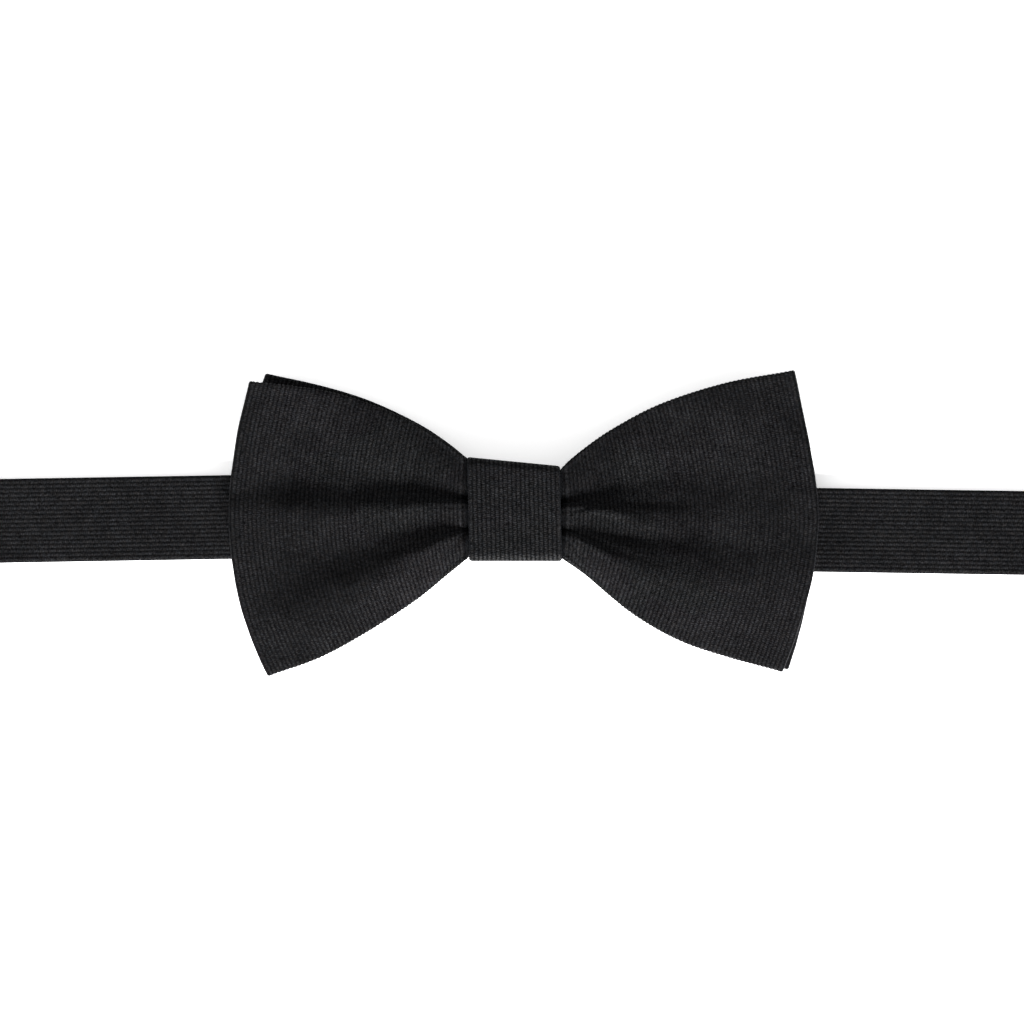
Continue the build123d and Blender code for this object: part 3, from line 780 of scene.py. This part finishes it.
def bow_loop(front, back, columns_per_rib, rows):
    """The middle surface of one bow as a closed loop of columns, and each point's flat place."""
    u, v = panel_u[front], panel_v
    length = u[-1] - u[0]
    count = int(round(length / RIB)) * columns_per_rib + 1
    new_u = np.linspace(u[0], u[-1], count)
    new_v = np.linspace(v[0], v[-1], rows)
    sides = []
    for index in (front, back):
        fine = resample(relaxed(panels[index]), panel_u[index], new_u)
        fine = resample(fine.swapaxes(0, 1), v, new_v).swapaxes(0, 1)
        ripple = sum(height * waves(seed + index, new_u[:, None], new_v[None, :], size)
                     for seed, (height, size) in ((11, BROAD_RIPPLE), (31, FINE_RIPPLE)))
        fine[..., 2] += ripple * smooth(RIPPLE_FROM, RIPPLE_FULL, np.abs(new_u))[:, None]
        fine[..., 2] -= PINCH * np.exp(-(((np.abs(fine[..., 0]) - PINCH_X) / PINCH_WIDTH) ** 2))
        sides.append(fine)
    top, under = sides
    turn = max(3 * columns_per_rib, 8)
    right = fold_arc(top[-1], under[-1], unit(top[-1] - top[-2]), unit(under[-1] - under[-2]), turn)
    left = fold_arc(under[0], top[0], unit(under[0] - under[1]), unit(top[0] - top[1]), turn)
    middle = np.concatenate([top, right, under[::-1], left])
    phase = np.arange(len(middle)) / columns_per_rib
    flat = np.stack(np.broadcast_arrays(phase[:, None], new_v[None, :]), -1)
    return middle, flat


front_middle, front_flat = bow_loop(0, 1, 4, 76)
front_bow = thick_sheet("front_bow", front_middle[::-1], front_flat[::-1], True)
dress(front_bow, cloth_wings, "bow", "black_faille", "front_bow_shell")
rear_middle, rear_flat = bow_loop(2, 3, 2, 50)
rear_bow = thick_sheet("rear_bow", rear_middle[::-1], rear_flat[::-1], True, rib_height=0.0)
dress(rear_bow, cloth_plain, "bow", "black_faille", "rear_bow_shell")


# the felt keeps every column this near the pinch and this far out, and stops rows short of the hems
NEAR_PINCH, NEAR_FOLD = 2.5, 52
FELT_ROWS = slice(2, -2)


def lining_of(name, middle, flat, spare, node):
    """The felt in the middle of a bow's cloth, short of the hems, with fewer columns where it is plain."""
    out = np.abs(middle[:, middle.shape[1] // 2, 0])
    kept = (np.arange(len(out)) % spare == 0) | (np.abs(out - PINCH_X) < NEAR_PINCH) | (out > NEAR_FOLD)
    piece = thick_sheet(name, middle[kept][::-1, FELT_ROWS], flat[kept][::-1, FELT_ROWS], True, FELT, 0.0)
    return dress(piece, felt_pale, "bow", "interlining", node)


front_lining = lining_of("front_bow_felt", front_middle, front_flat, 4, "front_bow_interlining")
rear_lining = lining_of("rear_bow_felt", rear_middle, rear_flat, 2, "rear_bow_interlining")

# ---- knot wrap ----

KNOT_Y = -0.8
WRAP_HALF = 9.7
WRAP_WALL = 0.8
WRAP_HEIGHT = 13.5
WRAP_BOTTOM = -10.8
# its top edge slopes from one side to the other
WRAP_TOP_LEFT, WRAP_TOP_RIGHT = 11.2, 9.3
BACK_RADIUS, FRONT_RADIUS, ROOF_RADIUS = 1.5, 1.7, 30.0
ROOF_CROWN = 0.25
WRAP_STEP = 0.2


def wrap_section(top, depth, count):
    """One closed outline of the wrap in Y and Z, this deep inside its outer face."""
    low, high = WRAP_BOTTOM + depth, top - depth
    floor, roof = depth, WRAP_HEIGHT - depth
    back, front = BACK_RADIUS - depth, FRONT_RADIUS - depth
    middle = (low + high) / 2
    corners = [
        (middle, floor), (low, floor), (low, roof - ROOF_CROWN), (middle, roof), (high, roof - ROOF_CROWN),
        (high, floor), (middle, floor),
    ]
    line = [corners[0]]
    for k, radius in enumerate((back, front, ROOF_RADIUS, front, back), start=1):
        arc = rounded(corners[k - 1:k + 2], radius, WRAP_STEP)
        line += [tuple(p) for p in arc[1:-1]]
    line.append(corners[-1])
    points, reach = spread(line, WRAP_STEP)
    at = np.linspace(0, reach[-1], count + 1)[:-1]
    return np.stack([np.interp(at, reach, points[:, k]) for k in (0, 1)], 1), at


def wrap_surface(depth, ring, columns, inset=0.0):
    """The wrap's surface at one depth: ring points by columns, and its flat coordinates."""
    half = WRAP_HALF - inset
    xs = np.linspace(-half, half, columns)
    grid = np.zeros((ring, columns, 3))
    for c, x in enumerate(xs):
        top = WRAP_TOP_LEFT + (WRAP_TOP_RIGHT - WRAP_TOP_LEFT) * (x + WRAP_HALF) / (2 * WRAP_HALF)
        section, at = wrap_section(top, depth, ring)
        lift = smooth(2, 12, section[:, 1])
        swell = 1 - (x / WRAP_HALF) ** 4
        grid[:, c, 0] = x + lift * 0.25 * (section[:, 0] / -10.0)
        grid[:, c, 1] = section[:, 0]
        grid[:, c, 2] = section[:, 1] - lift * 0.35 * (1 - swell)
    flat = np.stack(np.broadcast_arrays((xs / RIB)[None, :], at[:, None]), -1)
    return grid, flat


knot_middle, knot_flat = wrap_surface(WRAP_WALL / 2, 180, 127, inset=WRAP_WALL / 2)
knot_wave = 0.05 * waves(71, knot_middle[..., 0], knot_middle[..., 1], 9.0)
knot_middle[..., 2] += knot_wave * smooth(8, 12, knot_middle[..., 2])
knot = thick_sheet("knot", knot_middle, knot_flat, True, WRAP_WALL, 0.10)
dress(knot, cloth_knot, "bow", "black_faille", "knot_wrap")
felt_middle, felt_flat = wrap_surface(WRAP_WALL / 2, 90, 24, inset=0.9)
knot_felt = thick_sheet("knot_felt", felt_middle, felt_flat, True, 0.26, 0.0)
dress(knot_felt, felt_pale, "bow", "interlining", "knot_interlining")

# slanted stitches close the wrap's seam on the back
seam = []
for k in range(7):
    x = -8.1 + k * 2.7
    seam.append([(x - 0.25, 2.1, 0.17), (x - 0.1, 2.6, 0.13), (x + 0.1, 3.4, 0.13), (x + 0.25, 3.9, 0.17)])
thread("seam_stitches", seam, 0.12, "bow", "knot_seam_stitches")

# pairs of turns that gather the bows under the wrap, as outlines in Y and Z
GATHER_LOW, GATHER_HIGH, GATHER_BACK, GATHER_FRONT = 2.78, 12.22, -9.45, 7.85
outline = rounded([
    (KNOT_Y, GATHER_LOW), (GATHER_BACK, GATHER_LOW), (GATHER_BACK, GATHER_HIGH), (GATHER_FRONT, GATHER_HIGH),
    (GATHER_FRONT, GATHER_LOW), (KNOT_Y, GATHER_LOW)], 0.8, 0.2)
loop, reach = spread(outline, 0.5)
turns = []
for x in (-5.0, 0.0, 5.0):
    for ply in (-0.14, 0.14):
        wobble = 0.12 * np.sin(reach * 1.3 + x + ply * 20)
        turns.append(np.stack([np.full(len(loop), x + ply) + wobble, loop[:, 0], loop[:, 1]], 1))
thread("gather_turns", turns, 0.13, "bow", "gather_thread")

# ---- straps: ribs lengthways, folded round the two bars and woven over the slider ----

BAND_WIDTH = 18.0
RUN_Z = 1.7
RETURN_Z = 0.5
SKEW = 0.98
LEFT, RIGHT = math.radians(180 + SKEW), math.radians(-0.87)
ALONG_RIGHT = np.array([math.cos(RIGHT), math.sin(RIGHT)])
# height of the fittings' bars and the cloth's radius round them
BAR_Z = 1.65
LOOP = 1.15
LEFT_START = np.array([-20.0, KNOT_Y])
BEND_START, BEND_END = np.array([20.0, KNOT_Y]), np.array([64.5, -4.24])
BEND_LENGTH = 44.8
# the eye's bar along the left strap; the slider and the hook's bar on the table
EYE_AT = 132
SLIDER_AT, HOOK_AT = BEND_END + 55.5 * ALONG_RIGHT, BEND_END + 141.5 * ALONG_RIGHT
# where the two long layers start and stop, from the slider's middle
LONG_RUN = (9, 78)


def carried(profile, origin, angle):
    """A side profile (distance, height) stood up along one direction on the table."""
    profile = np.asarray(profile, float)
    x = origin[0] + profile[:, 0] * math.cos(angle)
    y = origin[1] + profile[:, 0] * math.sin(angle)
    return np.stack([x, y, profile[:, 1]], 1)


def side_of(angle):
    """The level direction to the left of a heading."""
    return np.array([-math.sin(angle), math.cos(angle), 0.0])


def half_turn(centre, radius, start, end):
    """Points on an arc between two angles in degrees."""
    angles = np.radians(np.linspace(start, end, 14))
    return [(centre[0] + radius * math.cos(a), centre[1] + radius * math.sin(a)) for a in angles]


# from just past the knot, leftwards to the eye's bar and back under itself
left_profile = rounded([(0, RUN_Z), (121, RUN_Z), (128, BAR_Z + LOOP), (EYE_AT, BAR_Z + LOOP)], 6.0, 0.6)
left_profile = np.concatenate([
    left_profile[:-1], half_turn((EYE_AT, BAR_Z), LOOP, 90, -90), [(112, RETURN_Z)]])
left_path = carried(left_profile, LEFT_START, LEFT)
knot_part = [(20.0, KNOT_Y, RUN_Z), (-19.6, KNOT_Y, RUN_Z)]
neck_path, _ = spread(np.concatenate([knot_part, left_path[1:]]), 0.9)
neck_side = np.zeros_like(neck_path)
before_bend = neck_path[:, 0] > -19.8
neck_side[:, 1] = np.where(before_bend, -1.0, -math.cos(math.radians(SKEW)))
neck_side[:, 0] = np.where(before_bend, 0.0, math.sin(math.radians(SKEW)))
neckband = ribbon("neckband", neck_path, neck_side, BAND_WIDTH)
dress(neckband, cloth_band, "neckband", "black_faille", "neckband_shell")
felt_end = carried([(116, RUN_Z)], LEFT_START, LEFT)[0]
felt_path, _ = spread([(19.4, KNOT_Y, RUN_Z), (-19.8, KNOT_Y, RUN_Z), tuple(felt_end)], 3.0)
band_felt = ribbon("neckband_felt", felt_path, (0, -1, 0), BAND_WIDTH - 1.2, 2.0, 0.0, FELT)
dress(band_felt, felt_pale, "neckband", "interlining", "neckband_interlining")

# from the knot to the slider: a shallow S in plan, then straight
t = np.linspace(0, 1, 60)
p0, p3 = BEND_START, BEND_END
p1 = p0 + np.array([BEND_LENGTH / 3, 0])
p2 = p3 - BEND_LENGTH / 3 * ALONG_RIGHT
bend = ((1 - t) ** 3)[:, None] * p0 + (3 * (1 - t) ** 2 * t)[:, None] * p1
bend = bend + (3 * (1 - t) * t**2)[:, None] * p2 + (t**3)[:, None] * p3
run_end = BEND_END + 46.5 * ALONG_RIGHT
run_path, _ = spread(np.concatenate([bend, [run_end]]), 1.0)
run_path = np.concatenate([run_path, np.full((len(run_path), 1), RUN_Z)], 1)
run_heading = unit(np.gradient(run_path, axis=0))
run_side = np.stack([-run_heading[:, 1], run_heading[:, 0], np.zeros(len(run_path))], 1)
to_slider = ribbon("run_to_slider", run_path, run_side, BAND_WIDTH)
dress(to_slider, cloth_band, None, "black_faille", "strap_run_to_slider")


def strap(name, profile, step, origin, body, node):
    """A straight length of strap that follows a side profile from a fitting's middle."""
    path, _ = spread(carried(profile, origin, RIGHT), step)
    return dress(ribbon(name, path, side_of(RIGHT), BAND_WIDTH), cloth_band, body, "black_faille", node)


# over the slider's middle bar, and the strap's own end sewn round it
SLIDER_TOP = RUN_Z + 3.4
over_profile = rounded([
    (-9, RUN_Z), (-5.4, RUN_Z), (-1.6, SLIDER_TOP), (1.6, SLIDER_TOP), (5.4, RUN_Z), (9, RUN_Z)], 1.0, 0.2)
over = strap("slider_strap", over_profile, 0.3, SLIDER_AT, "slider", "strap_over_slider")

MIDDLE_Z, MIDDLE_LOOP, MIDDLE_HALF = 2.95, 1.05, 0.65
end_profile = rounded([
    (9, RETURN_Z), (4.8, RETURN_Z), (1.8, MIDDLE_Z - MIDDLE_LOOP), (-MIDDLE_HALF, MIDDLE_Z - MIDDLE_LOOP)],
    0.8, 0.2)
end_profile = np.concatenate([
    end_profile[:-1], half_turn((-MIDDLE_HALF, MIDDLE_Z), MIDDLE_LOOP, 270, 90),
    half_turn((MIDDLE_HALF, MIDDLE_Z), MIDDLE_LOOP, 90, -12)])
anchor = strap("anchored_end", end_profile, 0.3, SLIDER_AT, "slider", "strap_anchor_end")

# the two layers between the slider and the hook, and the strap's turn round the hook's bar
upper_run, return_run = (
    strap(name, [(at, height) for at in LONG_RUN], 1.0, SLIDER_AT, None, node) for name, height, node in (
        ("upper_run", RUN_Z, "strap_run_top"), ("return_run", RETURN_Z, "strap_run_return")))
turn_profile = rounded([(-8, RUN_Z), (-6.5, RUN_Z), (-2.0, BAR_Z + LOOP), (0, BAR_Z + LOOP)], 3.0, 0.3)
turn_profile = np.concatenate([turn_profile[:-1], half_turn((0, BAR_Z), LOOP, 90, -90), [(-8, RETURN_Z)]])
hook_turn = strap("hook_turn", turn_profile, 0.3, HOOK_AT, "hook_end", "strap_turn")

# stitches: two rows across the fold at the eye, one row at the strap's sewn end
STITCH_HALF, STITCH_SLOPE = 0.75, 0.12
FOLD_TOP, FOLD_UNDER = RUN_Z + 0.44, RETURN_Z - 0.36
fold_stitches = []
for row in (114.0, 117.5):
    centre = carried([(row, 0)], LEFT_START, LEFT)[0]
    side = side_of(LEFT)
    for k in range(8):
        y = -6.6 + k * 1.9
        a, b = centre + side * (y - STITCH_HALF), centre + side * (y + STITCH_HALF)
        for level, sunk in ((FOLD_TOP, FOLD_TOP - 0.25), (FOLD_UNDER, FOLD_UNDER + 0.22)):
            fold_stitches.append([
                a + (0, 0, sunk), a + side * STITCH_SLOPE + (0, 0, level),
                b - side * STITCH_SLOPE + (0, 0, level), b + (0, 0, sunk)])
        fold_stitches.append([a + (0, 0, FOLD_UNDER + 0.1), a + (0, 0, FOLD_TOP - 0.1)])
eye_stitches = thread("eye_stitches", fold_stitches, 0.13, "neckband", "eye_fold_stitches")

ANCHOR_STITCH = ((0, 0, 1.35), (0.02, 0, 1.8), (0.05, 0.3, 2.6), (0.0, 0.3, 3.1))
sewn = []
for k in range(8):
    y = -7.4 + k * 2.1
    centre = carried([(1.7, 0)], SLIDER_AT, RIGHT)[0] + side_of(RIGHT) * y
    sewn.append([centre + shift for shift in ANCHOR_STITCH])
anchor_thread = thread("anchor_thread", sewn, 0.13, "slider", "anchor_stitches")

# ---- fittings: the CAD plates keep their shape and get the plating ----
for node in ("eye_plate", "hook_plate", "slider_frame"):
    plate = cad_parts[node].data
    plate.materials.clear()
    plate.materials.append(nickel)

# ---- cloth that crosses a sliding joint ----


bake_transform(to_slider)
for piece, height in ((upper_run, RUN_Z), (return_run, RETURN_Z)):
    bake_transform(piece)

# ---- stage, light, camera ----


TABLE_HALF = 3.0
TABLE_PAINT = {
    "Base Color": (0.86, 0.86, 0.86, 1), "Emission Color": (1, 1, 1, 1), "Emission Strength": 0.30,
    "Roughness": 0.9, "Specular IOR Level": 0.1}
LENS, SENSOR = 150, 36
WIDTH_SEEN = 0.2169
SEEN_MIDDLE = (-0.00053, -0.00042, 0.008)


def floor_plane():
    """A plain pale table top."""
    mesh = bpy.data.meshes.new("table")
    corners = [(x * TABLE_HALF, y * TABLE_HALF, 0) for x, y in ((-1, -1), (1, -1), (1, 1), (-1, 1))]
    mesh.from_pydata(corners, [], [(0, 1, 2, 3)])
    paint = Nodes("table_paint")
    paint.surface(TABLE_PAINT)
    mesh.materials.append(paint.material)
    table = put("table", mesh)


def softbox(name, place, size, power):
    """A square white area light aimed at the origin."""
    data = bpy.data.lights.new(name, "AREA")
    data.energy = power
    data.size = size
    light = put(name, data)
    light.location = place
    x, y, z = (-c for c in place)
    light.rotation_euler = (math.atan2(math.hypot(x, y), -z), 0, math.atan2(y, x) - math.pi / 2)


floor_plane()
# a strong low key from below the bow, and a weak fill from behind
softbox("key", (0.06, -1.30, 0.60), 0.45, 139.0)
softbox("fill", (-0.5, 0.5, 1.4), 1.2, 5.0)
world = bpy.data.worlds.new("studio")
world.use_nodes = True
sky = world.node_tree.nodes["Background"].inputs
sky["Color"].default_value = (1, 1, 1, 1)
sky["Strength"].default_value = 1.0
bpy.context.scene.world = world

camera_data = bpy.data.cameras.new("camera")
camera_data.lens = LENS
camera_data.sensor_width = SENSOR
camera_data.clip_end = 20
camera = put("camera", camera_data)
x, y, z = SEEN_MIDDLE
camera.location = (x, y, z + WIDTH_SEEN * LENS / SENSOR)
camera.rotation_euler = (0, 0, 0)
bpy.context.scene.camera = camera
bpy.context.scene.view_settings.view_transform = "Standard"
